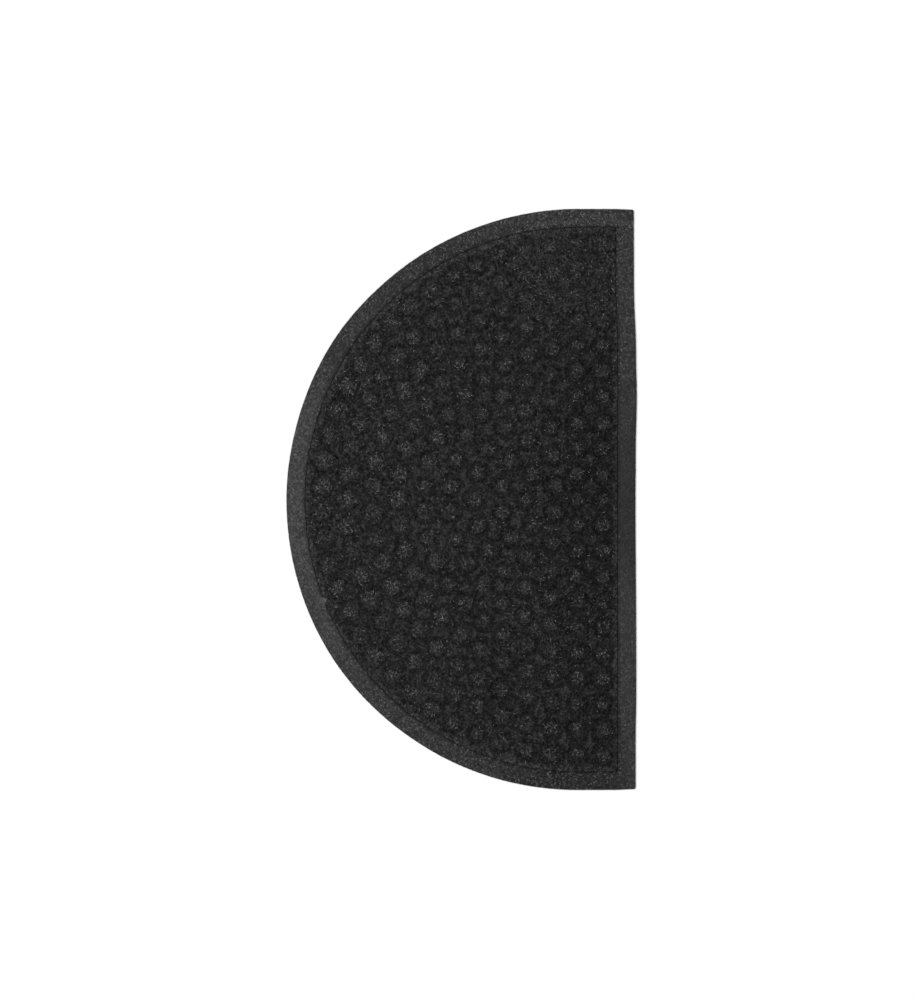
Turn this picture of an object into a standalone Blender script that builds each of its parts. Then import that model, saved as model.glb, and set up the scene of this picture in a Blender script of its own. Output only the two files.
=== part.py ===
"""Half-round doormat, lying flat on Z = 0. Metres, +Z up.

The straight edge is at +X, the curved edge at -X, and the mat is longest along Y.
It has two pieces: a moulded crumb-rubber base, whose bevelled border runs all round a
shallow recess, and a fibre face bonded into that recess. The fibre face is pressed into
round studs, in half rings about the arc's centre and two straight columns beside them,
with a moat round each stud and flat pads left between the moats.
"""

from math import cos, pi, radians, sin

import bmesh
import bpy
from mathutils import Vector, geometry

MM = 0.001

# Plan, measured from the arc's centre
ARC_RADIUS = 0.375
STRAIGHT_EDGE_X = 0.075
BORDER_WIDTH = 0.0232
OUTER_CORNER_RADIUS = 0.0022
INNER_CORNER_RADIUS = 0.002
ARC_STEPS = 48
STRAIGHT_STEPS = 16
CORNER_STEPS = 2
GAP = 0.0003

# Heights above the floor
OUTER_EDGE_HEIGHT = 0.0030
OUTER_EDGE_ROUND = 0.0008
CREST_HEIGHT = 0.0052
CREST_ROUND = 0.0006
RECESS_FLOOR_HEIGHT = 0.0026
FIELD_HEIGHT = 0.0052
CARPET_EDGE_DROP = 0.0012
CARPET_EDGE_SLOPE = 0.0012

# Studs: a pitch apart along each ring and column, and from ring to ring
STUD_PITCH = 0.033
STUD_TOP_RADIUS = 0.0084
STUD_FOOT_RADIUS = 0.0126
MOAT_RADIUS = 0.0154
MOAT_DEPTH = 0.0013
STUD_RISE = 0.0024
STUD_SIDES = 8
COLUMN_HALF_COUNT = 10
# The steps between studs over each half ring, the smallest ring first
RING_STEPS = (3, 6, 9, 12, 15, 19, 22, 25, 28, 31)

# How far the moulded outline strays outwards from the drawn one. The recess follows
# it by this share where it strays outwards, and in full where it strays inwards.
RECESS_STRAY_SHARE = 0.4
# (angle from +X in degrees, outwards in millimetres)
CURVED_EDGE_STRAY = (
    (90, 0.5),
    (110, 0.0),
    (130, 0.2),
    (147, 1.3),
    (165, 0.5),
    (180, 1.1),
    (213, 2.0),
    (240, 0.7),
    (270, 0.4),
)
# (Y in millimetres, outwards in millimetres)
STRAIGHT_EDGE_STRAY = (
    (-375, 0.3),
    (-310, 0.3),
    (-250, 1.1),
    (-190, 1.0),
    (0, 0.1),
    (60, 0.4),
    (135, 1.8),
    (185, 0.9),
    (280, -1.9),
    (375, -2.1),
)
# How far the two ends draw in towards the outer corners
# (X in millimetres, inwards in millimetres)
END_DRAW = ((45, 0.0), (75, 1.0))

# A flaw of the moulding at the lower left: a tooth of rubber that cuts into the fibre face
# (angle from +X in degrees, inwards in millimetres)
TOOTH = ((200.9, 0.0), (201.7, 6.0), (202.5, 0.0))
TOOTH_CLEARANCE = 1.1

RUBBER_COLOUR = (0.040, 0.040, 0.041, 1.0)
RUBBER_ROUGHNESS = 0.85
FIBRE_COLOUR = (0.020, 0.020, 0.021, 1.0)
FIBRE_ROUGHNESS = 0.95
SHARP_ANGLE = radians(20)


def clear_scene():
    for old in list(bpy.data.objects):
        bpy.data.objects.remove(old, do_unlink=True)


def new_material(name, colour, roughness):
    material = bpy.data.materials.new(name)
    material.use_nodes = True
    shader = material.node_tree.nodes["Principled BSDF"]
    shader.inputs["Base Color"].default_value = colour
    shader.inputs["Roughness"].default_value = roughness
    shader.inputs["Metallic"].default_value = 0.0
    return material


def new_object(name, mesh_data, material, collection):
    mesh = bpy.data.meshes.new(name)
    mesh_data.to_mesh(mesh)
    mesh_data.free()
    mesh.materials.append(material)
    mesh.shade_smooth()
    mesh.set_sharp_from_angle(angle=SHARP_ANGLE)
    made = bpy.data.objects.new(name, mesh)
    collection.objects.link(made)
    return made


def eased(rows, place):
    """The second column of rows at a place in the first, easing from row to row."""
    if place <= rows[0][0]:
        return rows[0][1]
    for (start, low), (end, high) in zip(rows, rows[1:]):
        if place <= end:
            share = (place - start) / (end - start)
            return low + (high - low) * (1 - cos(pi * share)) / 2
    return rows[-1][1]


def straight(rows, place):
    """The second column of rows at a place in the first, in straight lines, and 0 outside."""
    for (start, low), (end, high) in zip(rows, rows[1:]):
        if start <= place <= end:
            return low + (high - low) * (place - start) / (end - start)
    return 0.0


def followed(stray, share):
    """How much of a stray a line takes: a share of it outwards, and all of it inwards."""
    return min(stray, stray * share)


def arc_angles():
    """The angles of the points on the curved edge, with one at each corner of the tooth."""
    even = [90 + 180 * i / ARC_STEPS for i in range(ARC_STEPS + 1)]
    return sorted(set(even + [angle for angle, _ in TOOTH]))


def corner(x, y, radius, first_angle):
    """A rounded corner at (x, y), a quarter turn from first_angle."""
    turn = radians(first_angle + 45)
    centre_x = x - radius * (1 if cos(turn) > 0 else -1)
    centre_y = y - radius * (1 if sin(turn) > 0 else -1)
    angles = [radians(first_angle + 90 * i / CORNER_STEPS) for i in range(CORNER_STEPS + 1)]
    return [(centre_x + radius * cos(a), centre_y + radius * sin(a)) for a in angles]


def outline(inset, stray_share=1.0, tooth_share=0.0, corner_radius=OUTER_CORNER_RADIUS):
    """Points round the mat, anticlockwise from the arc's top, moved inwards by inset."""
    radius = ARC_RADIUS - inset
    points = []
    for angle in arc_angles():
        outwards = followed(eased(CURVED_EDGE_STRAY, angle), stray_share)
        inwards = straight(TOOTH, angle) * tooth_share
        r = radius + (outwards - inwards) * MM
        points.append((r * cos(radians(angle)), r * sin(radians(angle))))

    low_y = points[-1][1]
    high_y = points[0][1]

    def side_x(y):
        outwards = followed(eased(STRAIGHT_EDGE_STRAY, y / MM), stray_share)
        return STRAIGHT_EDGE_X - inset + outwards * MM

    def draw(x):
        return eased(END_DRAW, x / MM) * MM

    draw_start = END_DRAW[0][0] * MM
    low_x, high_x = side_x(low_y), side_x(high_y)
    low_middle, high_middle = (draw_start + low_x) / 2, (draw_start + high_x) / 2
    points.append((draw_start, low_y))
    points.append((low_middle, low_y + draw(low_middle)))
    points += corner(low_x, low_y + draw(low_x), corner_radius, 270)
    for i in range(1, STRAIGHT_STEPS):
        y = low_y + (high_y - low_y) * i / STRAIGHT_STEPS
        points.append((side_x(y), y))
    points += corner(high_x, high_y - draw(high_x), corner_radius, 0)
    points.append((high_middle, high_y - draw(high_middle)))
    points.append((draw_start, high_y))
    return points


def recess_outline(inset, tooth_share):
    """The edge of the recess, or a line inside it by inset."""
    return outline(BORDER_WIDTH + inset, RECESS_STRAY_SHARE, tooth_share, INNER_CORNER_RADIUS)


def arc_centre_x():
    """Where the arc's centre lies when the mat's box is centred on the origin."""
    across = [x for x, _ in outline(0.0)]
    return -(min(across) + max(across)) / 2


def arc_centre_y():
    along = [y for _, y in outline(0.0)]
    return -(min(along) + max(along)) / 2


ARC_CENTRE = Vector((arc_centre_x(), arc_centre_y(), 0.0))


def add_loop(mesh_data, points, height):
    return [mesh_data.verts.new(ARC_CENTRE + Vector((x, y, height))) for x, y in points]


def loft(mesh_data, loops):
    """Walls between each loop of vertices and the next."""
    for below, above in zip(loops, loops[1:]):
        for i in range(len(below)):
            mesh_data.faces.new((below[i - 1], below[i], above[i], above[i - 1]))


def make_rubber_base(collection):
    """A tray with a flat underside: an upright outer edge, a border that rises to its crest,
    and a recess for the fibre face."""
    levels = (
        (outline(0.0), 0.0),
        (outline(0.0), OUTER_EDGE_HEIGHT - OUTER_EDGE_ROUND),
        (outline(OUTER_EDGE_ROUND), OUTER_EDGE_HEIGHT),
        (recess_outline(-CREST_ROUND, 1.0), CREST_HEIGHT),
        (recess_outline(0.0, 1.0), CREST_HEIGHT - CREST_ROUND),
        (recess_outline(0.0, 1.0), RECESS_FLOOR_HEIGHT),
    )
    mesh_data = bmesh.new()
    loops = [add_loop(mesh_data, points, height) for points, height in levels]
    mesh_data.faces.new(reversed(loops[0]))
    loft(mesh_data, loops)
    mesh_data.faces.new(loops[-1])
    rubber = new_material("crumb_rubber", RUBBER_COLOUR, RUBBER_ROUGHNESS)
    return new_object("rubber_base", mesh_data, rubber, collection)


def stud_places():
    """The studs' centres, measured from the arc's centre: half rings, then the columns."""
    places = []
    for ring, steps in enumerate(RING_STEPS, 1):
        for i in range(1, steps):
            angle = pi / 2 + pi * i / steps
            places.append((STUD_PITCH * ring * cos(angle), STUD_PITCH * ring * sin(angle)))
    for column in range(2):
        for i in range(-COLUMN_HALF_COUNT, COLUMN_HALF_COUNT + 1):
            places.append((STUD_PITCH * column, STUD_PITCH * i))
    return places


def moat_corners(x, y):
    """The corners of a moat's outer edge."""
    turns = [2 * pi * (i + 0.5) / STUD_SIDES for i in range(STUD_SIDES)]
    return [(x + MOAT_RADIUS * cos(a), y + MOAT_RADIUS * sin(a)) for a in turns]


def fill_between(mesh_data, edge_loop, moat_loops):
    """Triangles in the level surface, with a hole left at each moat."""
    loops = [edge_loop] + moat_loops
    vertices = [vertex for loop in loops for vertex in loop]
    edges = []
    start = 0
    for loop in loops:
        count = len(loop)
        edges += [(start + i, start + (i + 1) % count) for i in range(count)]
        start += count
    moat_of = {}
    for number, loop in enumerate(moat_loops):
        for vertex in loop:
            moat_of[vertex] = number
    inside_the_edge = 1
    same_place = 1e-7
    flat = [vertex.co.xy for vertex in vertices]
    filled = geometry.delaunay_2d_cdt(flat, edges, [], inside_the_edge, same_place)
    triangles = filled[2]
    for triangle in triangles:
        corners = [vertices[i] for i in triangle]
        moats = {moat_of.get(vertex) for vertex in corners}
        if len(moats) > 1 or None in moats:
            mesh_data.faces.new(corners)


def make_carpet_face(collection):
    """The fibre face: a flat underside, a dropped rim, and a level field with the studs."""
    mesh_data = bmesh.new()
    underside = RECESS_FLOOR_HEIGHT + GAP
    side = recess_outline(GAP, TOOTH_CLEARANCE)
    rim = recess_outline(GAP + CARPET_EDGE_SLOPE, TOOTH_CLEARANCE)
    loops = [
        add_loop(mesh_data, side, underside),
        add_loop(mesh_data, side, FIELD_HEIGHT - CARPET_EDGE_DROP),
        add_loop(mesh_data, rim, FIELD_HEIGHT),
    ]
    mesh_data.faces.new(reversed(loops[0]))
    loft(mesh_data, loops)

    moat_loops = [add_loop(mesh_data, moat_corners(x, y), FIELD_HEIGHT) for x, y in stud_places()]
    fill_between(mesh_data, loops[-1], moat_loops)
    studs = [mesh_data.faces.new(loop) for loop in moat_loops]
    bmesh.ops.recalc_face_normals(mesh_data, faces=mesh_data.faces)

    flat_side = cos(pi / STUD_SIDES)
    into_moat = (MOAT_RADIUS - STUD_FOOT_RADIUS) * flat_side
    up_stud = (STUD_FOOT_RADIUS - STUD_TOP_RADIUS) * flat_side
    bmesh.ops.inset_individual(mesh_data, faces=studs, thickness=into_moat, depth=-MOAT_DEPTH)
    bmesh.ops.inset_individual(
        mesh_data, faces=studs, thickness=up_stud, depth=MOAT_DEPTH + STUD_RISE
    )
    fibre = new_material("needled_fibre", FIBRE_COLOUR, FIBRE_ROUGHNESS)
    return new_object("carpet_face", mesh_data, fibre, collection)


def main():
    clear_scene()
    collection = bpy.data.collections.new("half_round_doormat")
    bpy.context.scene.collection.children.link(collection)
    make_rubber_base(collection)
    make_carpet_face(collection)


main()
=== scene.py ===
"""The looks of a half-round rubber doormat with a studded fibre face, on its fixed frame.

The straight edge is at +X, the curved edge at -X. Sizes are metres, and the plan's
sizes are measured from the curved edge's centre, at ARC_CENTRE in the frame.
"""

from math import cos, pi, radians, sin

import bmesh
import bpy
import numpy as np
from bpy.props import FloatProperty, FloatVectorProperty, IntProperty, PointerProperty
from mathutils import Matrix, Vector


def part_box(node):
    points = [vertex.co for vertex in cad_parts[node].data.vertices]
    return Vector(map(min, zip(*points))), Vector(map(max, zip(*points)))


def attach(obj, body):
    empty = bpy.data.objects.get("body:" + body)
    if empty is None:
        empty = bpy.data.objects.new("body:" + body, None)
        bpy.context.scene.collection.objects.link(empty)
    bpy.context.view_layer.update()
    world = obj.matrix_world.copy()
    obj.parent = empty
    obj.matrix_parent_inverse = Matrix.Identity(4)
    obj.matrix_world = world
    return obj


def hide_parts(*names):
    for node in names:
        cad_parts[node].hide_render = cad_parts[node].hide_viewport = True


bl_info = {
    "name": "Half-round Doormat",
    "version": (1, 0, 0),
    "blender": (4, 5, 0),
    "location": "3D View > Sidebar > Doormat",
    "description": "Makes a moulded rubber doormat with a studded fibre face",
    "category": "Add Mesh",
}

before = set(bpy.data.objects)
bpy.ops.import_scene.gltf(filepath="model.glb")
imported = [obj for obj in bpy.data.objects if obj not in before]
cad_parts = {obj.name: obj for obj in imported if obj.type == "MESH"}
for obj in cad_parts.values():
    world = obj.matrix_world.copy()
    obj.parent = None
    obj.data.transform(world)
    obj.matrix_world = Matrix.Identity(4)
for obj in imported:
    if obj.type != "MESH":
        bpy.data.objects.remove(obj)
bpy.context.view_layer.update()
BASE_LOW, BASE_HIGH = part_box("rubber_base")
FACE_LOW, FACE_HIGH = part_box("carpet_face")
MM = 0.001

# How far the outline strays outwards: (angle from +X in degrees, millimetres)
CURVED_EDGE_STRAY = (
    (90, 0.5),
    (110, 0.0),
    (130, 0.2),
    (147, 1.3),
    (165, 0.5),
    (180, 1.1),
    (213, 2.0),
    (240, 0.7),
    (270, 0.4),
)
# (Y in millimetres, outwards in millimetres)
STRAIGHT_EDGE_STRAY = (
    (-375, 0.3),
    (-310, 0.3),
    (-250, 1.1),
    (-190, 1.0),
    (0, 0.1),
    (60, 0.4),
    (135, 1.8),
    (185, 0.9),
    (280, -1.9),
    (375, -2.1),
)
# How far the ends draw in towards the outer corners: (X and inwards, both in millimetres)
END_DRAW = ((45, 0.0), (75, 1.0))
# The share of a stray outwards that the recess follows
RECESS_STRAY_SHARE = 0.4
# The tooth of rubber at the lower left: (angle from +X in degrees, millimetres inwards)
TOOTH = ((200.9, 0.0), (201.7, 6.0), (202.5, 0.0))
TOOTH_CLEARANCE = 1.1
TOOTH_ROOT_RADIUS = 0.0055

# How light the border is painted for the light and shade that fall round it: (angle from +X in
# degrees, brightness)
BORDER_PAINTED_LIGHT = (
    (0, 0.74),
    (46, 0.80),
    (60, 0.92),
    (72, 0.98),
    (90, 1.01),
    (115, 0.79),
    (145, 0.85),
    (165, 1.33),
    (180, 1.47),
    (200, 1.33),
    (225, 0.97),
    (250, 0.79),
    (265, 0.48),
    (276, 0.51),
    (284, 1.04),
    (292, 1.10),
    (314, 0.80),
    (360, 0.74),
)
# How speckled the border is: (angle from +X in degrees, amount)
BORDER_SPECKLE = (
    (0, 0.20),
    (46, 0.20),
    (60, 0.60),
    (75, 0.85),
    (90, 1.15),
    (120, 1.00),
    (150, 0.85),
    (180, 0.65),
    (230, 0.90),
    (270, 1.10),
    (282, 0.60),
    (292, 0.45),
    (314, 0.20),
    (360, 0.20),
)

# Plan
ARC_RADIUS = 0.375
STRAIGHT_EDGE_X = 0.075
OUTER_CORNER_RADIUS = 0.0022
INNER_CORNER_RADIUS = 0.002
GAP = 0.0003
FACE_EDGE_SLOPE = 0.0019
ARC_CENTRE = Vector(
    (
        BASE_HIGH.x - STRAIGHT_EDGE_X - max(out for _, out in STRAIGHT_EDGE_STRAY) * MM,
        BASE_HIGH.y - ARC_RADIUS - CURVED_EDGE_STRAY[0][1] * MM,
        0.0,
    )
)

# Heights
CREST_HEIGHT = BASE_HIGH.z
FACE_UNDERSIDE = FACE_LOW.z
RECESS_FLOOR = FACE_UNDERSIDE - GAP
FACE_TOP = FACE_HIGH.z

# The steps between studs over each half ring, the smallest ring first
RING_STEPS = (3, 6, 9, 12, 15, 19, 22, 25, 28, 31)
COLUMN_HALF_COUNT = 10

# Where a stud's looks change, as distances from its centre: (at the left, from the middle on)
LIGHT_TOP_STARTS_TO_FADE = (0.0045, 0.0045)
LIGHT_TOP_ENDS = (0.0130, 0.0095)
# The moats' darkening is painted shade, where shade falls round each stud's foot
PAINTED_MOAT_SHADE_STARTS = (0.0085, 0.0050)
PAINTED_MOAT_SHADE_IS_DARKEST = (0.0142, 0.0120)
PAINTED_MOAT_SHADE_STARTS_TO_FADE = 0.0142
PAINTED_MOAT_SHADE_ENDS = 0.0195
# How strong those looks are, in the same two places
LIGHT_TOP_STRENGTH = (1.0, 0.25)
PAINTED_MOAT_SHADE_STRENGTH = (0.82, 1.0)

# How finely the pieces are modelled
OUTLINE_STEP = 0.0011
FIELD_STEP = 0.00163
CORNER_STEPS = 4
BORDER_STEPS = 18
MERGE_DISTANCE = 0.00025

# The small lumps of the moulded rubber: (size, strength)
CRUMB_LUMPS = ((0.0034, 0.00028), (0.0012, 0.00016))

# The boxes from which places for loose fibres are drawn: (low corner, high corner)
FACE_FIBRE_BOX = ((-0.354, -0.354), (0.054, 0.354))
BORDER_FIBRE_BOX = ((-0.37, -0.37), (0.07, 0.37))
# How high a fibre's middle lies over the surface, as a share of its thickness
FIBRE_REST_SHARE = 0.30
FIBRE_FREE_END_LIFT = 0.00035
# The shortest and longest fibre, and the thinnest and thickest, as shares of the usual one
FIBRE_LENGTHS = (0.55, 1.7)
FIBRE_THICKNESSES = (0.7, 1.25)
# The most that a fibre bows to either side, as a share of its length
FIBRE_BOW = 0.32

# The soft lights: (name, place, size, watts)
SOFT_LIGHTS = (
    ("key", (-1.5, 0.5, 2.3), 1.8, 42.0),
    ("fill", (1.6, -0.7, 2.2), 2.2, 14.0),
)
SKY_STRENGTH = 0.78

# The camera, and the size of the frame that it fills
CAMERA_PLACE = (0.00045, -0.0007, 3.0)
FRAME_PIXELS = 1000
METRES_PER_PIXEL = 0.0012931
SENSOR_MM = 36.0


class MatSizes(bpy.types.PropertyGroup):
    """The mat's sizes inside its outline."""

    border_width: FloatProperty(
        name="Border width",
        description="Width of the plain rubber round the fibre face",
        default=0.0232,
        unit="LENGTH",
    )
    outer_edge_height: FloatProperty(
        name="Edge height",
        description="Height of the mat's upright outer edge",
        default=0.003,
        unit="LENGTH",
    )
    field_height: FloatProperty(
        name="Field height",
        description="Height of the pads between the studs",
        default=CREST_HEIGHT,
        unit="LENGTH",
    )
    stud_pitch: FloatProperty(
        name="Stud pitch",
        description="Distance from ring to ring and from stud to stud",
        default=0.033,
        unit="LENGTH",
    )
    stud_top_radius: FloatProperty(
        name="Stud top radius",
        description="Radius at which a stud's top starts to round down",
        default=0.0062,
        unit="LENGTH",
    )
    stud_foot_radius: FloatProperty(
        name="Stud foot radius",
        description="Radius of a stud where it meets its moat",
        default=0.0126,
        unit="LENGTH",
    )
    moat_radius: FloatProperty(
        name="Moat radius",
        description="Radius at which the moat has risen to the pads",
        default=0.0185,
        unit="LENGTH",
    )
    moat_depth: FloatProperty(
        name="Moat depth",
        description="Depth of the moats below the pads",
        default=0.0013,
        unit="LENGTH",
    )


class MatColours(bpy.types.PropertyGroup):
    """The mat's colours, as linear light."""

    rubber: FloatVectorProperty(
        name="Rubber",
        description="The crumb rubber of the border",
        subtype="COLOR",
        default=(0.0249, 0.0249, 0.0254),
    )
    fibre: FloatVectorProperty(
        name="Fibre",
        description="The dark fibre of the face",
        subtype="COLOR",
        default=(0.0306, 0.0306, 0.0312),
    )
    light_fibre: FloatVectorProperty(
        name="Light fibre",
        description="The lightest of the fibres that fleck the studs",
        subtype="COLOR",
        default=(0.40, 0.40, 0.405),
    )
    floor: FloatVectorProperty(
        name="Floor",
        description="The plain floor under the mat",
        subtype="COLOR",
        default=(0.93, 0.93, 0.93),
    )


class MatFibres(bpy.types.PropertyGroup):
    """How many loose fibres lie on the mat, and their size."""

    light_on_stud: IntProperty(
        name="Light on a stud",
        description="Light fibres on the top of each stud",
        default=36,
    )
    light_between: IntProperty(
        name="Light between",
        description="Light fibres over the rest of the face",
        default=2100,
    )
    dark: IntProperty(
        name="Dark",
        description="Dark fibres over the whole face",
        default=12500,
    )
    on_border: IntProperty(
        name="On the border",
        description="Stray fibres caught on the rubber border",
        default=420,
    )
    length: FloatProperty(
        name="Length",
        description="Usual length of a loose fibre",
        default=0.0023,
        unit="LENGTH",
    )
    thickness: FloatProperty(
        name="Thickness",
        description="Usual thickness of a loose fibre",
        default=0.00040,
        unit="LENGTH",
    )


def eased(rows, place):
    """The rows' second column at each place in the first, easing from row to row."""
    places, values = np.array(rows, float).T
    row = np.clip(np.searchsorted(places, place) - 1, 0, len(rows) - 2)
    share = np.clip((place - places[row]) / (places[row + 1] - places[row]), 0, 1)
    return values[row] + (values[row + 1] - values[row]) * (1 - np.cos(pi * share)) / 2


def in_lines(rows, place):
    """The rows' second column at each place in the first, in straight lines."""
    places, values = np.array(rows, float).T
    return np.interp(place, places, values)


def smooth(low, high, value):
    """0 up to low, 1 from high, and an even ease between them."""
    share = np.clip((value - low) / (high - low), 0, 1)
    return share * share * (3 - 2 * share)


def bumps(x, y, size, seed):
    """Smooth random values from -1 to 1 over the plan, each bump about size across."""
    count = 512
    table = np.random.default_rng(seed).uniform(-1, 1, (count, count))
    across, along = (x + 1) / size, (y + 1) / size
    column, row = np.floor(across).astype(int), np.floor(along).astype(int)
    u = smooth(0, 1, across - column)
    v = smooth(0, 1, along - row)
    column, row = column % count, row % count
    next_column, next_row = (column + 1) % count, (row + 1) % count
    near = table[row, column] * (1 - u) + table[row, next_column] * u
    far = table[next_row, column] * (1 - u) + table[next_row, next_column] * u
    return near * (1 - v) + far * v


def followed(stray, share):
    """How much of a stray a line takes: a share of it outwards, and all of it inwards."""
    return np.minimum(stray, stray * share)


def side_x(y, inset, stray_share):
    """X of the straight edge at each Y, moved inwards by inset."""
    outwards = followed(eased(STRAIGHT_EDGE_STRAY, y / MM), stray_share)
    return STRAIGHT_EDGE_X - inset + outwards * MM


def end_draw(x):
    """How far the ends draw in at each X."""
    return eased(END_DRAW, x / MM) * MM


def curve_radius(angle, inset, stray_share, tooth_share):
    """Radius of the curved edge at each angle in degrees, moved inwards by inset."""
    outwards = followed(eased(CURVED_EDGE_STRAY, angle), stray_share)
    inwards = in_lines(TOOTH, angle) * tooth_share
    return ARC_RADIUS - inset + (outwards - inwards) * MM


def outline(inset):
    """Points round the mat, anticlockwise from the arc's top, moved inwards by inset.

    The line eases from the outer edge's form to that of the recess, with its tooth.
    """
    width = bpy.context.scene.mat_sizes.border_width
    share = min(inset / width, 1.0)
    stray_share = 1 + (RECESS_STRAY_SHARE - 1) * share
    tooth_share = smooth(0.45, 1.0, share) * (TOOTH_CLEARANCE if inset > width else 1.0)
    corner_radius = OUTER_CORNER_RADIUS + (INNER_CORNER_RADIUS - OUTER_CORNER_RADIUS) * share

    angles = np.linspace(90, 270, round(pi * ARC_RADIUS / OUTLINE_STEP))
    radius = curve_radius(angles, inset, stray_share, tooth_share)
    arc = np.stack([radius * np.cos(np.radians(angles)), radius * np.sin(np.radians(angles))], 1)
    low_y, high_y = arc[-1, 1], arc[0, 1]
    corner_turns = np.radians(np.linspace(0, 90, CORNER_STEPS + 1))
    bend = corner_radius * np.stack([np.cos(corner_turns), np.sin(corner_turns)], 1)
    end_steps = round(STRAIGHT_EDGE_X / OUTLINE_STEP)
    ends = []
    for y, way in ((low_y, -1), (high_y, 1)):
        end_x = side_x(np.array([y]), inset, stray_share)[0] - corner_radius
        run = np.linspace(0, end_x, end_steps)[1:-1]
        corner_y = y - way * (end_draw(end_x) + corner_radius)
        turn = np.stack([end_x + bend[:, 0], corner_y + way * bend[:, 1]], 1)
        ends.append((np.stack([run, y - way * end_draw(run)], 1), turn))
    (low_run, low_turn), (high_run, high_turn) = ends
    side_steps = round(2 * ARC_RADIUS / OUTLINE_STEP)
    side_y = np.linspace(low_turn[0, 1], high_turn[0, 1], side_steps)[1:-1]
    side = np.stack([side_x(side_y, inset, stray_share), side_y], 1)
    line = np.concatenate([arc, low_run, low_turn[::-1], side, high_turn, high_run[::-1]])
    x, y = line.T
    ragged = (0.00010 + 0.00032 * share**4) * bumps(x, y, 0.0045, 21)
    return line * (1 + ragged / np.hypot(x, y))[:, None]


def to_recess_edge(points, inset):
    """The nearest place to each point on the recess's edge, or on a line inside it by inset."""
    line = outline(bpy.context.scene.mat_sizes.border_width + inset)
    step = np.roll(line, -1, 0) - line
    share = ((points[:, None] - line) * step).sum(2) / (step * step).sum(1)
    near = line + np.clip(share, 0, 1)[:, :, None] * step
    nearest = np.linalg.norm(near - points[:, None], axis=2).argmin(1)
    return near[np.arange(len(points)), nearest]


def room_to_recess(x, y, inset):
    """How far each point lies inside the recess, less inset."""
    angle = np.degrees(np.arctan2(y, x)) % 360
    width = bpy.context.scene.mat_sizes.border_width + inset
    to_curve = curve_radius(angle, width, RECESS_STRAY_SHARE, TOOTH_CLEARANCE) - np.hypot(x, y)
    to_end = ARC_RADIUS - width - end_draw(x) - np.abs(y)
    to_side = side_x(y, width, RECESS_STRAY_SHARE) - x
    return np.minimum(np.where(x < 0, to_curve, to_end), to_side)


def stud_places(pitch):
    """The studs' centres: half rings about the arc's centre, then two straight columns."""
    places = []
    for ring, steps in enumerate(RING_STEPS, 1):
        for i in range(1, steps):
            angle = pi / 2 + pi * i / steps
            places.append((pitch * ring * cos(angle), pitch * ring * sin(angle)))
    for column in range(2):
        for i in range(-COLUMN_HALF_COUNT, COLUMN_HALF_COUNT + 1):
            places.append((pitch * column, pitch * i))
    return np.array(places)


def nearest_stud(x, y, places):
    """The distance to the nearest stud's centre, and that stud's number."""
    distances, numbers = [], []
    batch = 20000
    for start in range(0, len(x), batch):
        part = slice(start, start + batch)
        away = np.hypot(x[part, None] - places[:, 0], y[part, None] - places[:, 1])
        number = away.argmin(1)
        numbers.append(number)
        distances.append(away[np.arange(len(number)), number])
    return np.concatenate(distances), np.concatenate(numbers)


def near_tooth(x, y):
    """1 at the root of the tooth, falling to 0 around it."""
    angle = radians(TOOTH[1][0])
    radius = ARC_RADIUS - bpy.context.scene.mat_sizes.border_width
    away = np.hypot(x - radius * cos(angle), y - radius * sin(angle))
    return np.exp(-((away / TOOTH_ROOT_RADIUS) ** 2))


def evenness(x, y):
    """How far the studs fade into the field, which they do most at the upper right."""
    upper_right = smooth(0.17, 0.30, y) * smooth(-0.17, 0.0, x)
    return 0.6 * upper_right


def from_left(x):
    """0 on the left, where the studs are lightest and widest, and 1 from the middle on."""
    return smooth(-0.27, -0.11, x)


def between(pair, share):
    """The value that lies at a share of the way from a pair's first to its second."""
    return pair[0] + (pair[1] - pair[0]) * share


def stud_looks(distance, right):
    """How far a point is a stud's light top, and how much painted shade it takes in the moat."""
    top_start, top_end = between(LIGHT_TOP_STARTS_TO_FADE, right), between(LIGHT_TOP_ENDS, right)
    top = (1 - smooth(top_start, top_end, distance)) * between(LIGHT_TOP_STRENGTH, right)
    moat_shade_start, moat_shade_full = between(PAINTED_MOAT_SHADE_STARTS, right), between(PAINTED_MOAT_SHADE_IS_DARKEST, right)
    darkening = smooth(moat_shade_start, moat_shade_full, distance)
    fading = 1 - smooth(PAINTED_MOAT_SHADE_STARTS_TO_FADE, PAINTED_MOAT_SHADE_ENDS, distance)
    return top, darkening * fading * between(PAINTED_MOAT_SHADE_STRENGTH, right)


def studded_field(x, y):
    """The fibre face's height at each point, with how far it is a stud's top, and the painted shade
    of its moat.
    """
    sizes = bpy.context.scene.mat_sizes
    places = stud_places(sizes.stud_pitch)
    random = np.random.default_rng(5)
    spread = random.uniform(0.90, 1.10, len(places))
    lift = random.uniform(-0.00030, 0.00010, len(places))
    fade = 1 - evenness(x, y)
    distance, stud = nearest_stud(x, y, places)
    raggedness = 0.0011 * bumps(x, y, 0.0075, 11) + 0.0005 * bumps(x, y, 0.0035, 15)
    distance = distance / spread[stud] + raggedness
    fall = smooth(sizes.stud_top_radius, sizes.stud_foot_radius, distance)
    rise = smooth(sizes.stud_foot_radius, sizes.moat_radius, distance)
    depth = sizes.moat_depth * fade * (1 + 0.4 * bumps(x, y, 0.011, 14))
    stud_height = (FACE_TOP - sizes.field_height - 0.0003 + lift[stud]) * fade
    crown = 0.0004 * np.minimum(distance / sizes.stud_top_radius, 1) ** 2
    relief = (stud_height + depth - crown * fade) * (1 - fall) - depth * (1 - rise)
    shade = random.uniform(0.4, 1.6, len(places))
    top, moat = stud_looks(distance, from_left(x))
    fluff = 0.00020 * bumps(x, y, 0.0034, 12) + 0.00018 * bumps(x, y, 0.0080, 13)
    room = smooth(0.0, 0.003, room_to_recess(x, y, GAP))
    return sizes.field_height + relief + fluff * room, top * fade * shade[stud], moat * fade


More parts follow.
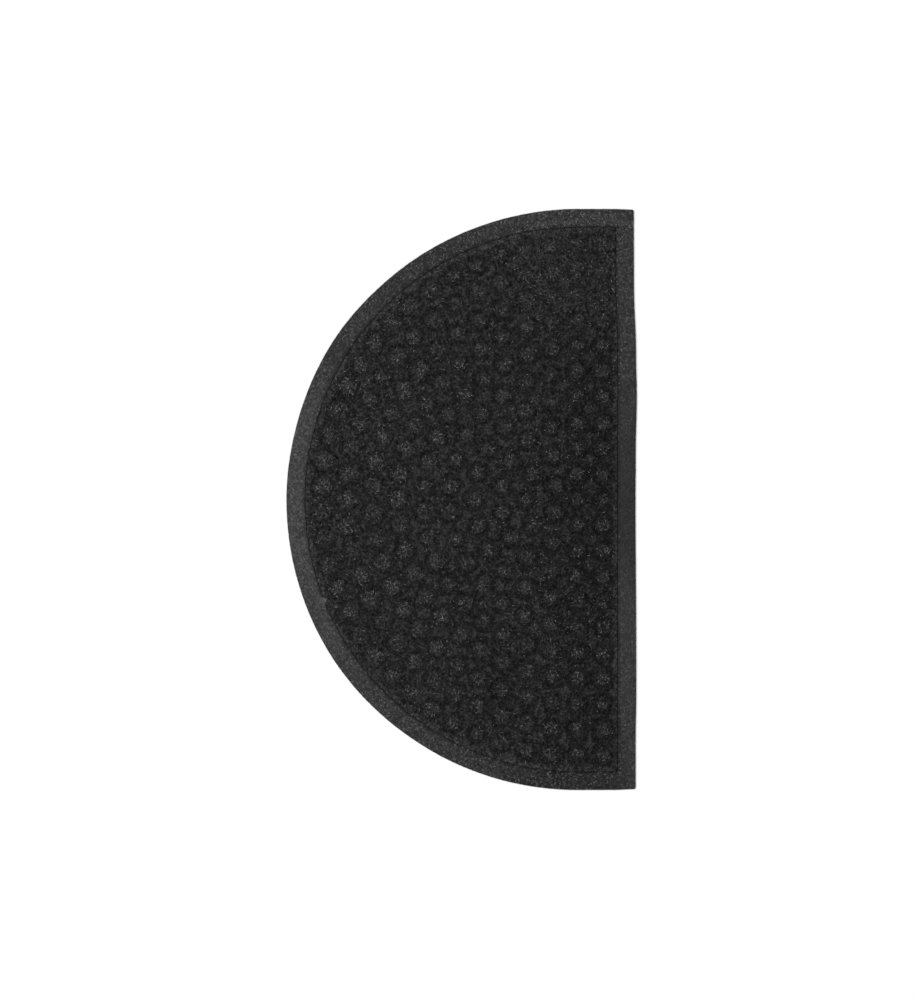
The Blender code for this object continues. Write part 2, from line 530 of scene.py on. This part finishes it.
def only(obj):
    """Selects one object alone and makes it active."""
    if bpy.context.object and bpy.context.object.mode != "OBJECT":
        bpy.ops.object.mode_set(mode="OBJECT")
    bpy.ops.object.select_all(action="DESELECT")
    obj.select_set(True)
    bpy.context.view_layer.objects.active = obj


def named(name):
    """Names the object that an operator has just added."""
    made = bpy.context.object
    made.name = name
    made.data.name = name
    return made


def coordinates(mesh):
    """A mesh's vertices, as rows of X, Y and Z."""
    flat = np.empty(len(mesh.vertices) * 3)
    mesh.vertices.foreach_get("co", flat)
    return flat.reshape(-1, 3)


def place_vertices(mesh, points):
    """Moves a mesh's vertices to the points."""
    mesh.vertices.foreach_set("co", np.ascontiguousarray(points, float).ravel())
    mesh.update()


def store(mesh, name, values):
    """Keeps a value for each vertex, which the finish reads by its name."""
    kept = mesh.attributes.new(name, "FLOAT", "POINT")
    kept.data.foreach_set("value", np.ascontiguousarray(values, np.float32))


def extrude_loop(places):
    """Extrudes the selected loop, and moves each new vertex by its number along the loop."""
    bpy.ops.mesh.extrude_edges_move()
    shape = bmesh.from_edit_mesh(bpy.context.edit_object.data)
    along = shape.verts.layers.int["along"]
    for vertex in shape.verts:
        if vertex.select:
            vertex.co = places[vertex[along]]
    bmesh.update_edit_mesh(bpy.context.edit_object.data)


def base_levels(sizes):
    """The rubber base's section from the floor to the recess, as rows of inset and height."""
    edge, width = sizes.outer_edge_height, sizes.border_width
    bottom_round, top_round, crest_round = 0.0003, 0.0009, 0.0006
    rows = [(bottom_round, 0.0), (0.0, bottom_round), (0.0, edge / 2)]
    for turn in np.radians(np.linspace(0, 90, 4)):
        rows.append((top_round * (1 - cos(turn)), edge - top_round * (1 - sin(turn))))
    for share in np.linspace(0, 1, BORDER_STEPS + 1)[1:]:
        inset = top_round + (width - crest_round - top_round) * share
        crown = 0.0002 * sin(pi * share)
        rows.append((inset, edge + (CREST_HEIGHT - edge) * share + crown))
    for turn in np.radians((45, 90)):
        inset = width - crest_round * (1 - sin(turn))
        rows.append((inset, CREST_HEIGHT - crest_round * (1 - cos(turn))))
    rows.append((width, RECESS_FLOOR))
    return rows


def base_loop(inset, height):
    """One level of the rubber base."""
    return [ARC_CENTRE + Vector((x, y, height)) for x, y in outline(inset)]


def model_rubber_base(sizes):
    """The base as a closed tray: loops are extruded up its edge, over its border and down."""
    levels = base_levels(sizes)
    first = base_loop(*levels[0])
    bpy.ops.object.select_all(action="DESELECT")
    bpy.ops.mesh.primitive_circle_add(vertices=len(first), radius=ARC_RADIUS, fill_type="NOTHING")
    base = named("moulded_rubber")
    along = base.data.attributes.new("along", "INT", "POINT")
    along.data.foreach_set("value", np.arange(len(first), dtype=np.int32))
    place_vertices(base.data, np.array(first))
    bpy.ops.object.mode_set(mode="EDIT")
    bpy.context.tool_settings.mesh_select_mode = (False, True, False)
    bpy.ops.mesh.select_all(action="SELECT")
    bpy.ops.mesh.edge_face_add()
    bpy.ops.mesh.select_all(action="SELECT")
    for inset, height in levels[1:]:
        extrude_loop(base_loop(inset, height))
    bpy.ops.mesh.edge_face_add()
    bpy.ops.mesh.select_all(action="SELECT")
    bpy.ops.mesh.normals_make_consistent(inside=False)
    bpy.ops.object.mode_set(mode="OBJECT")
    base.data.attributes.remove(base.data.attributes["along"])
    return base


def roughen(piece, low_z):
    """Raises small lumps on what lies above low_z, as moulded crumb has."""
    group = piece.vertex_groups.new(name="upper")
    heights = coordinates(piece.data)[:, 2]
    group.add([int(i) for i in np.nonzero(heights > low_z)[0]], 1.0, "REPLACE")
    for size, strength in CRUMB_LUMPS:
        lumps = bpy.data.textures.new("crumb_lumps", "CLOUDS")
        lumps.noise_scale = size
        lumps.noise_depth = 1
        displace = piece.modifiers.new("crumb", "DISPLACE")
        displace.texture = lumps
        displace.texture_coords = "LOCAL"
        displace.vertex_group = group.name
        displace.mid_level = 0.6
        displace.strength = strength
        bpy.ops.object.modifier_apply(modifier=displace.name)


class Socket:
    """An output of a shader node. Sums on it add Math nodes."""

    def __init__(self, finish, output):
        self.finish = finish
        self.output = output

    def __add__(self, other):
        return self.finish.maths("ADD", self, other)

    def __radd__(self, other):
        return self.finish.maths("ADD", other, self)

    def __sub__(self, other):
        return self.finish.maths("SUBTRACT", self, other)

    def __rsub__(self, other):
        return self.finish.maths("SUBTRACT", other, self)

    def __mul__(self, other):
        return self.finish.maths("MULTIPLY", self, other)

    def __rmul__(self, other):
        return self.finish.maths("MULTIPLY", other, self)


class Finish:
    """A material, with the nodes that its colour, roughness and bump come from."""

    def __init__(self, name, roughness, specular):
        self.material = bpy.data.materials.new(name)
        self.material.use_nodes = True
        self.tree = self.material.node_tree
        self.shader = self.tree.nodes["Principled BSDF"]
        self.shader.inputs["Roughness"].default_value = roughness
        self.shader.inputs["Specular IOR Level"].default_value = specular
        self.place = self.node("ShaderNodeTexCoord", output="Object")

    def node(self, kind, settings=None, inputs=None, output=0):
        """Adds a node, with its settings first and then its inputs' values or links."""
        made = self.tree.nodes.new(kind)
        for name, value in (settings or {}).items():
            if name == "stops":
                self.set_stops(made.color_ramp, value)
            else:
                setattr(made, name, value)
        for name, value in (inputs or {}).items():
            self.feed(made.inputs[name], value)
        return Socket(self, made.outputs[output])

    @staticmethod
    def set_stops(ramp, stops):
        """Gives a ramp grey stops, as pairs of place and value."""
        while len(ramp.elements) < len(stops):
            ramp.elements.new(1.0)
        for element, (place, value) in zip(ramp.elements, stops):
            element.position = place
            element.color = (value, value, value, 1.0)

    def feed(self, target, value):
        if isinstance(value, Socket):
            self.tree.links.new(value.output, target)
        else:
            target.default_value = value

    def maths(self, operation, first, second):
        return self.node("ShaderNodeMath", {"operation": operation}, {0: first, 1: second})

    def noise(self, size, detail=2.0, seed=0.0):
        """Noise from 0 to 1, its features about size across."""
        inputs = {"Vector": self.place, "W": seed, "Scale": 1 / size, "Detail": detail}
        return self.node("ShaderNodeTexNoise", {"noise_dimensions": "4D"}, inputs)

    def strands(self, size, seed):
        """Thin curving lines about size apart, 1 along their middles."""
        return self.ramp(self.noise(size, 0.0, seed), (0.455, 0.0), (0.5, 1.0), (0.545, 0.0))

    def grains(self, size, output="Color"):
        """Cells about size across: each one's random value, or the distance to its middle."""
        inputs = {"Vector": self.place, "Scale": 1 / size}
        return self.node("ShaderNodeTexVoronoi", inputs=inputs, output=output)

    def ramp(self, factor, *stops):
        return self.node("ShaderNodeValToRGB", {"stops": stops}, {"Fac": factor})

    def kept(self, name):
        """A value that store keeps for each vertex."""
        settings = {"attribute_name": name, "attribute_type": "GEOMETRY"}
        return self.node("ShaderNodeAttribute", settings, output="Fac")

    def scaled(self, colour, brightness):
        """A colour times a value."""
        inputs = {0: colour, "Scale": brightness}
        return self.node("ShaderNodeVectorMath", {"operation": "SCALE"}, inputs)

    def mixed(self, factor, first, second):
        settings = {"data_type": "RGBA"}
        inputs = {0: factor, 6: first, 7: second}
        return self.node("ShaderNodeMix", settings, inputs, output=2)

    def bump(self, height, depth):
        """Bumps whose height runs over depth."""
        inputs = {"Strength": 1.0, "Distance": depth, "Height": height}
        bumped = self.node("ShaderNodeBump", inputs=inputs, output="Normal")
        self.feed(self.shader.inputs["Normal"], bumped)


def rgba(colour):
    return (*colour, 1.0)


def crumb_rubber(colour):
    """Matte black rubber, moulded from crumb: small grains of different greys, with dust, and painted
    light and shade round the border.
    """
    finish = Finish("crumb_rubber", 0.82, 0.12)
    speckle = finish.kept("speckle")
    grain = finish.ramp(finish.grains(0.0023), (0.25, 0.80), (0.5, 0.98), (0.8, 1.25))
    mottle = finish.ramp(finish.noise(0.0030, 2.0, 4.0), (0.34, 0.0), (0.50, 0.36), (0.66, 1.0))
    fine = finish.noise(0.0009, 3.0)
    patches = finish.noise(0.045, 2.0)
    flecks = finish.ramp(finish.noise(0.0021, 0.0, 9.0), (0.64, 0.0), (0.74, 1.0))
    brightness = grain * (1.0 + speckle * (mottle * 1.15 - 0.4)) * (0.80 + 0.40 * fine)
    # The border's painted light and shade, lightest at the left, multiply the rubber's tone
    brightness = brightness * (0.80 + 0.40 * patches) * finish.kept("dust")
    brightness = brightness + speckle * flecks * 2.3
    finish.feed(finish.shader.inputs["Base Color"], finish.scaled(colour, brightness))
    finish.feed(finish.shader.inputs["Roughness"], 0.70 + 0.22 * fine)
    middle = finish.grains(0.0014, "Distance")
    finish.bump(fine * 0.6 + (1.0 - middle) * 0.7, 0.00035)
    return finish.material


def needled_fibre(colour):
    """Dark needled fibre: lighter and brushed on the studs' tops, with painted shade darkest in the
    moats and painted light and shade across the face.
    """
    finish = Finish("needled_fibre", 0.95, 0.03)
    top, moat = finish.kept("stud_top"), finish.kept("moat")
    tangle = finish.strands(0.0024, 1.0) + finish.strands(0.0031, 2.0) + finish.strands(0.0040, 3.0)
    tufts = finish.ramp(finish.noise(0.0031, 2.0, 5.0), (0.34, 0.04), (0.52, 0.36), (0.70, 1.0))
    specks = finish.ramp(finish.grains(0.0019), (0.25, 0.0), (0.55, 0.22), (0.80, 1.0))
    clumps = finish.ramp(finish.noise(0.0062, 2.0, 6.0), (0.36, 0.0), (0.64, 1.0))
    patches = finish.noise(0.060, 2.0)
    brightness = 0.12 + 0.42 * tangle * (0.25 + 1.2 * tufts) + 0.65 * tufts + 0.75 * specks
    brightness = brightness * (0.75 + 0.47 * clumps) * (0.90 + 0.20 * patches)
    # Painted shade darkens the moats, and the face's painted light and shade, lighter on the left and
    # darker right of the middle, multiply the tone
    brightness = brightness * (1.0 + 0.12 * top) * (1.0 - 0.42 * moat) * finish.kept("wear")
    finish.feed(finish.shader.inputs["Base Color"], finish.scaled(colour, brightness))
    finish.bump(tangle * 0.5 + tufts * 0.6, 0.0006)
    return finish.material


def loose_fibre(name, dark, light):
    """Single fibres, each its own tone from dark to light."""
    finish = Finish(name, 0.8, 0.08)
    colour = finish.mixed(finish.kept("tone"), rgba(dark), rgba(light))
    along = finish.noise(0.0009, 1.0)
    finish.feed(finish.shader.inputs["Base Color"], finish.scaled(colour, 0.75 + 0.5 * along))
    return finish.material


def dress(piece, material):
    """Gives a finished piece its finish and its body."""
    piece.data.materials.clear()
    piece.data.materials.append(material)
    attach(piece, "root")


class DOORMAT_OT_rubber_base(bpy.types.Operator):
    """Model the rubber base with its bevelled border"""

    bl_idname = "doormat.rubber_base"
    bl_label = "Rubber Base"

    def execute(self, context):
        sizes = context.scene.mat_sizes
        base = model_rubber_base(sizes)
        roughen(base, sizes.outer_edge_height / 3)
        only(base)
        bpy.ops.object.shade_smooth_by_angle(angle=radians(40))
        x, y, _ = (coordinates(base.data) - np.array(ARC_CENTRE)).T
        angle = np.degrees(np.arctan2(y, x)) % 360
        # Painted shade darkens the border towards its crest, where the rubber bends down into the
        # groove
        painted_crest_shade = smooth(-0.0042, -0.0012, room_to_recess(x, y, 0.0))
        # Painted light and shade round the border from the table, made lighter round the tooth's root
        dust = eased(BORDER_PAINTED_LIGHT, angle) * (1 - 0.32 * painted_crest_shade) * (1 + 0.9 * near_tooth(x, y))
        store(base.data, "dust", dust)
        store(base.data, "speckle", eased(BORDER_SPECKLE, angle))
        dress(base, crumb_rubber(tuple(context.scene.mat_colours.rubber)))
        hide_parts("rubber_base")
        return {"FINISHED"}


def trim_to_recess(face, inset):
    """Deletes what lies outside the recess, and moves the ragged edge onto its line."""
    mesh = face.data
    centres = np.empty(len(mesh.polygons) * 3)
    mesh.polygons.foreach_get("center", centres)
    x, y, _ = (centres.reshape(-1, 3) - np.array(ARC_CENTRE)).T
    outside = room_to_recess(x, y, inset) < 0
    bpy.ops.object.mode_set(mode="EDIT")
    bpy.context.tool_settings.mesh_select_mode = (False, False, True)
    bpy.ops.mesh.select_all(action="DESELECT")
    shape = bmesh.from_edit_mesh(mesh)
    for polygon, away in zip(shape.faces, outside):
        polygon.select = bool(away)
    bmesh.update_edit_mesh(mesh)
    bpy.ops.mesh.delete(type="FACE")
    select_edge_loop()
    move_rim(mesh, inset)
    bpy.ops.mesh.select_all(action="SELECT")
    bpy.ops.mesh.remove_doubles(threshold=MERGE_DISTANCE)


def select_edge_loop():
    """Selects the open edge of the mesh that is being edited."""
    bpy.context.tool_settings.mesh_select_mode = (False, True, False)
    bpy.ops.mesh.select_all(action="DESELECT")
    bpy.ops.mesh.select_non_manifold()


def move_rim(mesh, inset, height=None):
    """Moves the selected vertices to a line inside the recess's edge, and to a height if given."""
    shape = bmesh.from_edit_mesh(mesh)
    rim = [vertex for vertex in shape.verts if vertex.select]
    points = np.array([(vertex.co - ARC_CENTRE).xy for vertex in rim])
    for vertex, (x, y) in zip(rim, to_recess_edge(points, inset)):
        vertex.co = ARC_CENTRE + Vector((x, y, vertex.co.z if height is None else height))
    bmesh.update_edit_mesh(mesh)


def lower_rim(mesh, sizes, inset):
    """Extrudes the face's open edge out and down to its underside, and closes it."""
    drop = 0.0012
    rows = (
        (GAP + 0.45 * (inset - GAP), sizes.field_height - 0.2 * drop),
        (GAP, sizes.field_height - drop),
        (GAP, FACE_UNDERSIDE),
    )
    select_edge_loop()
    for row_inset, height in rows:
        bpy.ops.mesh.extrude_edges_move()
        move_rim(mesh, row_inset, height)
    bpy.ops.mesh.edge_face_add()
    bpy.ops.mesh.select_all(action="SELECT")
    bpy.ops.mesh.normals_make_consistent(inside=False)


def model_fibre_face(sizes):
    """The face as a fine grid, trimmed to the recess and closed below."""
    inset = GAP + FACE_EDGE_SLOPE
    width, length = (FACE_HIGH - FACE_LOW).xy
    columns, rows = round(width / FIELD_STEP), round(length / FIELD_STEP)
    bpy.ops.object.select_all(action="DESELECT")
    bpy.ops.mesh.primitive_grid_add(x_subdivisions=columns, y_subdivisions=rows, size=1.0)
    face = named("studded_fibre")
    middle = (FACE_HIGH + FACE_LOW) / 2
    bpy.ops.object.mode_set(mode="EDIT")
    bpy.ops.transform.resize(value=(width, length, 1.0))
    bpy.ops.transform.translate(value=(middle.x, middle.y, sizes.field_height))
    bpy.ops.object.mode_set(mode="OBJECT")
    trim_to_recess(face, inset)
    lower_rim(face.data, sizes, inset)
    bpy.ops.object.mode_set(mode="OBJECT")
    return face


def press_studs(face, sizes):
    """Presses the face's top into studs and moats, and keeps for each vertex its stud top, its
    painted moat shade and its painted light and shade.
    """
    points = coordinates(face.data)
    x, y, z = (points - np.array(ARC_CENTRE)).T
    height, top, moat = studded_field(x, y)
    upper = z > sizes.field_height - 0.00001
    rim = room_to_recess(x, y, GAP + FACE_EDGE_SLOPE) < 0.0001
    points[:, 2] = np.where(upper & ~rim, height, z)
    place_vertices(face.data, points)
    store(face.data, "stud_top", top)
    store(face.data, "moat", moat)
    # Painted light and shade across the face, lighter on the left and darker right of the middle
    store(face.data, "wear", paint_light_on_face(x, y))


def paint_light_on_face(x, y):
    """How light the fibre is painted: painted light and shade make it lighter to the left and darkest
    right of the middle, and it is lighter round its edge.
    """
    left = 1 - smooth(-0.30, -0.15, x)
    right = smooth(-0.08, 0.02, x)
    middle = np.exp(-(((x - 0.02) / 0.09) ** 2) - ((y + 0.005) / 0.12) ** 2)
    upper_right = np.exp(-(((x - 0.03) / 0.11) ** 2) - ((y - 0.29) / 0.09) ** 2)
    rim = 1 - smooth(0.005, 0.009, room_to_recess(x, y, 0.0))
    return 1.05 - 0.07 * left - 0.18 * right - 0.06 * middle + 0.04 * upper_right + 0.27 * rim


class DOORMAT_OT_fibre_face(bpy.types.Operator):
    """Model the fibre face, pressed into its studs"""

    bl_idname = "doormat.fibre_face"
    bl_label = "Fibre Face"

    def execute(self, context):
        sizes = context.scene.mat_sizes
        face = model_fibre_face(sizes)
        press_studs(face, sizes)
        only(face)
        bpy.ops.object.shade_smooth_by_angle(angle=radians(50))
        dress(face, needled_fibre(tuple(context.scene.mat_colours.fibre)))
        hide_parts("carpet_face")
        return {"FINISHED"}


def model_fibre(cuts):
    """One fibre along X, one long and one thick, cut across so that it can bend."""
    bpy.ops.object.select_all(action="DESELECT")
    bpy.ops.mesh.primitive_cylinder_add(vertices=3, radius=0.5, depth=1.0, rotation=(0, pi / 2, 0))
    fibre = named("one_fibre")
    bpy.ops.object.transform_apply(location=False, rotation=True, scale=False)
    bpy.ops.object.mode_set(mode="EDIT")
    bpy.context.tool_settings.mesh_select_mode = (False, True, False)
    bpy.ops.mesh.select_all(action="DESELECT")
    shape = bmesh.from_edit_mesh(fibre.data)
    for edge in shape.edges:
        edge.select = abs(edge.verts[0].co.x - edge.verts[1].co.x) > 0.5
    bmesh.update_edit_mesh(fibre.data)
    bpy.ops.mesh.subdivide(number_cuts=cuts)
    bpy.ops.object.mode_set(mode="OBJECT")
    return fibre


def copy_fibres(name, cuts, places, surface, settings, random):
    """Lays a bent copy of the fibre at each place, on the surface, and joins them."""
    fibre = model_fibre(cuts)
    template = coordinates(fibre.data)
    corners = np.empty(len(fibre.data.loops), np.int32)
    fibre.data.loops.foreach_get("vertex_index", corners)
    counts = np.empty(len(fibre.data.polygons), np.int32)
    fibre.data.polygons.foreach_get("loop_total", counts)
    bpy.data.objects.remove(fibre)

    count = len(places)
    length = settings.length * random.uniform(*FIBRE_LENGTHS, (count, 1))
    thickness = settings.thickness * random.uniform(*FIBRE_THICKNESSES, (count, 1))
    heading = random.uniform(0, 2 * pi, (count, 1))
    bow = random.uniform(-FIBRE_BOW, FIBRE_BOW, (count, 1))
    lift = random.uniform(0.0, FIBRE_FREE_END_LIFT, (count, 1))
    u, across, up = (template[None, :, i] for i in range(3))
    taper = 1 - 0.5 * np.abs(2 * u) ** 3
    forward = u * length
    sideways = bow * length * (1 - 4 * u * u)
    centre_x = places[:, :1] + forward * np.cos(heading) - sideways * np.sin(heading)
    centre_y = places[:, 1:] + forward * np.sin(heading) + sideways * np.cos(heading)
    height = surface(centre_x.ravel(), centre_y.ravel()).reshape(centre_x.shape)
    x = centre_x - across * taper * thickness * np.sin(heading)
    y = centre_y + across * taper * thickness * np.cos(heading)
    z = height + (FIBRE_REST_SHARE + up * taper) * thickness + lift * (0.5 + u) ** 2
    points = np.stack([x, y, z], 2).reshape(-1, 3) + np.array(ARC_CENTRE)

    mesh = bpy.data.meshes.new(name)
    mesh.vertices.add(len(points))
    mesh.vertices.foreach_set("co", points.ravel())
    mesh.loops.add(len(corners) * count)
    offsets = np.repeat(np.arange(count, dtype=np.int32) * len(template), len(corners))
    mesh.loops.foreach_set("vertex_index", np.tile(corners, count) + offsets)
    mesh.polygons.add(len(counts) * count)
    starts = np.concatenate([[0], np.cumsum(np.tile(counts, count))[:-1]]).astype(np.int32)
    mesh.polygons.foreach_set("loop_start", starts)
    mesh.update(calc_edges=True)
    mesh.shade_smooth()
    tones = random.uniform(0, 1, (count, 1)) ** 2.2
    store(mesh, "tone", np.repeat(tones, len(template), 1).ravel())
    fibres = bpy.data.objects.new(name, mesh)
    bpy.context.scene.collection.objects.link(fibres)
    return fibres


def on_field(x, y):
    """The fibre face's height."""
    return studded_field(x, y)[0]


def on_border(x, y):
    """The border's height, from its crest at the recess down to its outer edge."""
    sizes = bpy.context.scene.mat_sizes
    share = np.clip(-room_to_recess(x, y, 0.0) / sizes.border_width, 0, 1)
    lumps = 0.0002
    return CREST_HEIGHT + (sizes.outer_edge_height - CREST_HEIGHT) * share + lumps


def scattered(random, count, low, high):
    """Random places in a box on the plan."""
    return random.uniform(low, high, (count, 2))


def places_on_face(random, count, keep):
    """Random places on the face, kept by the share that keep gives for each."""
    places = scattered(random, count * 6, *FACE_FIBRE_BOX)
    x, y = places.T
    inside = room_to_recess(x, y, 0.0025) > 0
    places = places[inside & (random.uniform(0, 1, len(places)) < keep(x, y))]
    return places[:count]


def thicker_at_right(x, y):
    """Fibres lie thicker between the studs to the right, and thickest at the upper right."""
    return 0.35 + smooth(-0.15, 0.0, x) * (0.2 + 0.45 * smooth(0.18, 0.30, y))


def everywhere(x, y):
    """Fibres lie evenly over the whole face."""
    return np.ones(len(x))


class DOORMAT_OT_dark_fibres(bpy.types.Operator):
    """Cover the face with short dark fibres"""

    bl_idname = "doormat.dark_fibres"
    bl_label = "Dark Fibres"

    def execute(self, context):
        settings = context.scene.mat_fibres
        random = np.random.default_rng(37)
        places = places_on_face(random, settings.dark, everywhere)
        fibres = copy_fibres("dark_fibres", 1, places, on_field, settings, random)
        dress(fibres, loose_fibre("dark_fibre", (0.006,) * 3, (0.10,) * 3))
        return {"FINISHED"}


class DOORMAT_OT_light_fibres(bpy.types.Operator):
    """Fleck the studs with light fibres"""

    bl_idname = "doormat.light_fibres"
    bl_label = "Light Fibres"

    def execute(self, context):
        sizes, settings = context.scene.mat_sizes, context.scene.mat_fibres
        random = np.random.default_rng(31)
        studs = stud_places(sizes.stud_pitch)
        right = from_left(studs[:, 0])
        usual = settings.light_on_stud * (1 - 0.60 * right)
        counts = (usual * random.uniform(0.5, 1.5, len(studs))).astype(int)
        centres = np.repeat(studs, counts, 0)
        turn = random.uniform(0, 2 * pi, len(centres))
        spread = sizes.stud_foot_radius * np.repeat(0.95 - 0.27 * right, counts)
        away = spread * random.uniform(0, 1, len(centres)) ** 0.65
        on_studs = centres + np.stack([away * np.cos(turn), away * np.sin(turn)], 1)
        on_pads = places_on_face(random, settings.light_between, thicker_at_right)
        places = np.concatenate([on_studs, on_pads])
        fibres = copy_fibres("light_fibres", 2, places, on_field, settings, random)
        colours = context.scene.mat_colours
        material = loose_fibre("light_fibre", (0.06, 0.06, 0.062), tuple(colours.light_fibre))
        dress(fibres, material)
        return {"FINISHED"}


class DOORMAT_OT_stray_fibres(bpy.types.Operator):
    """Catch stray fibres on the rubber border"""

    bl_idname = "doormat.stray_fibres"
    bl_label = "Stray Fibres"

    def execute(self, context):
        sizes, settings = context.scene.mat_sizes, context.scene.mat_fibres
        random = np.random.default_rng(43)
        places = scattered(random, settings.on_border * 40, *BORDER_FIBRE_BOX)
        x, y = places.T
        inset = -room_to_recess(x, y, 0.0)
        on_it = (inset > 0.002) & (inset < sizes.border_width - 0.003)
        at_ends = 0.08 + 0.92 * smooth(0.22, 0.36, np.abs(y))
        near_face = 0.4 + 0.6 * smooth(0.015, 0.002, inset)
        kept = on_it & (random.uniform(0, 1, len(x)) < at_ends * near_face)
        places = places[kept][: settings.on_border]
        fibres = copy_fibres("stray_fibres", 2, places, on_border, settings, random)
        material = loose_fibre("stray_fibre", (0.08,) * 3, (0.28,) * 3)
        dress(fibres, material)
        return {"FINISHED"}


def add_soft_light(name, place, size, power):
    """A square soft light that faces the mat."""
    bpy.ops.object.light_add(type="AREA", location=place)
    light = bpy.context.object
    light.name = name
    light.data.shape = "SQUARE"
    light.data.size = size
    light.data.energy = power
    light.rotation_euler = (-Vector(place)).to_track_quat("-Z", "Y").to_euler()


class DOORMAT_OT_stage(bpy.types.Operator):
    """Add the floor, the soft lights and the camera above"""

    bl_idname = "doormat.stage"
    bl_label = "Stage"

    def execute(self, context):
        bpy.ops.object.select_all(action="DESELECT")
        bpy.ops.mesh.primitive_plane_add(size=12.0, location=(0.0, 0.0, -0.0001))
        floor = named("floor")
        finish = Finish("pale_floor", 0.9, 0.1)
        finish.shader.inputs["Base Color"].default_value = rgba(context.scene.mat_colours.floor)
        floor.data.materials.append(finish.material)

        for light in SOFT_LIGHTS:
            add_soft_light(*light)
        world = bpy.data.worlds.new("studio")
        world.use_nodes = True
        sky = world.node_tree.nodes["Background"].inputs
        sky["Color"].default_value = (1.0, 1.0, 1.0, 1.0)
        sky["Strength"].default_value = SKY_STRENGTH
        context.scene.world = world
        context.scene.view_settings.view_transform = "Standard"

        bpy.ops.object.camera_add(location=CAMERA_PLACE, rotation=(0, 0, 0))
        camera = bpy.context.object
        camera.name = "camera_above"
        camera.data.lens = SENSOR_MM * CAMERA_PLACE[2] / (FRAME_PIXELS * METRES_PER_PIXEL)
        context.scene.camera = camera
        return {"FINISHED"}


class DOORMAT_PT_panel(bpy.types.Panel):
    """The doormat's sizes, colours and steps"""

    bl_idname = "DOORMAT_PT_panel"
    bl_label = "Doormat"
    bl_space_type = "VIEW_3D"
    bl_region_type = "UI"
    bl_category = "Doormat"

    def draw(self, context):
        for name, group in GROUPS.items():
            settings = getattr(context.scene, name)
            for value in group.__annotations__:
                self.layout.prop(settings, value)
        for operator in OPERATORS:
            self.layout.operator(operator.bl_idname)


GROUPS = {"mat_sizes": MatSizes, "mat_colours": MatColours, "mat_fibres": MatFibres}
OPERATORS = (
    DOORMAT_OT_rubber_base,
    DOORMAT_OT_fibre_face,
    DOORMAT_OT_dark_fibres,
    DOORMAT_OT_light_fibres,
    DOORMAT_OT_stray_fibres,
    DOORMAT_OT_stage,
)


def register():
    for name, group in GROUPS.items():
        bpy.utils.register_class(group)
        setattr(bpy.types.Scene, name, PointerProperty(type=group))
    for operator in OPERATORS:
        bpy.utils.register_class(operator)
    bpy.utils.register_class(DOORMAT_PT_panel)


def unregister():
    bpy.utils.unregister_class(DOORMAT_PT_panel)
    for operator in reversed(OPERATORS):
        bpy.utils.unregister_class(operator)
    for name, group in GROUPS.items():
        delattr(bpy.types.Scene, name)
        bpy.utils.unregister_class(group)


def main():
    """Makes the whole mat and its stage."""
    register()
    bpy.ops.doormat.rubber_base()
    bpy.ops.doormat.fibre_face()
    bpy.ops.doormat.dark_fibres()
    bpy.ops.doormat.light_fibres()
    bpy.ops.doormat.stray_fibres()
    bpy.ops.doormat.stage()


if __name__ == "__main__":
    main()
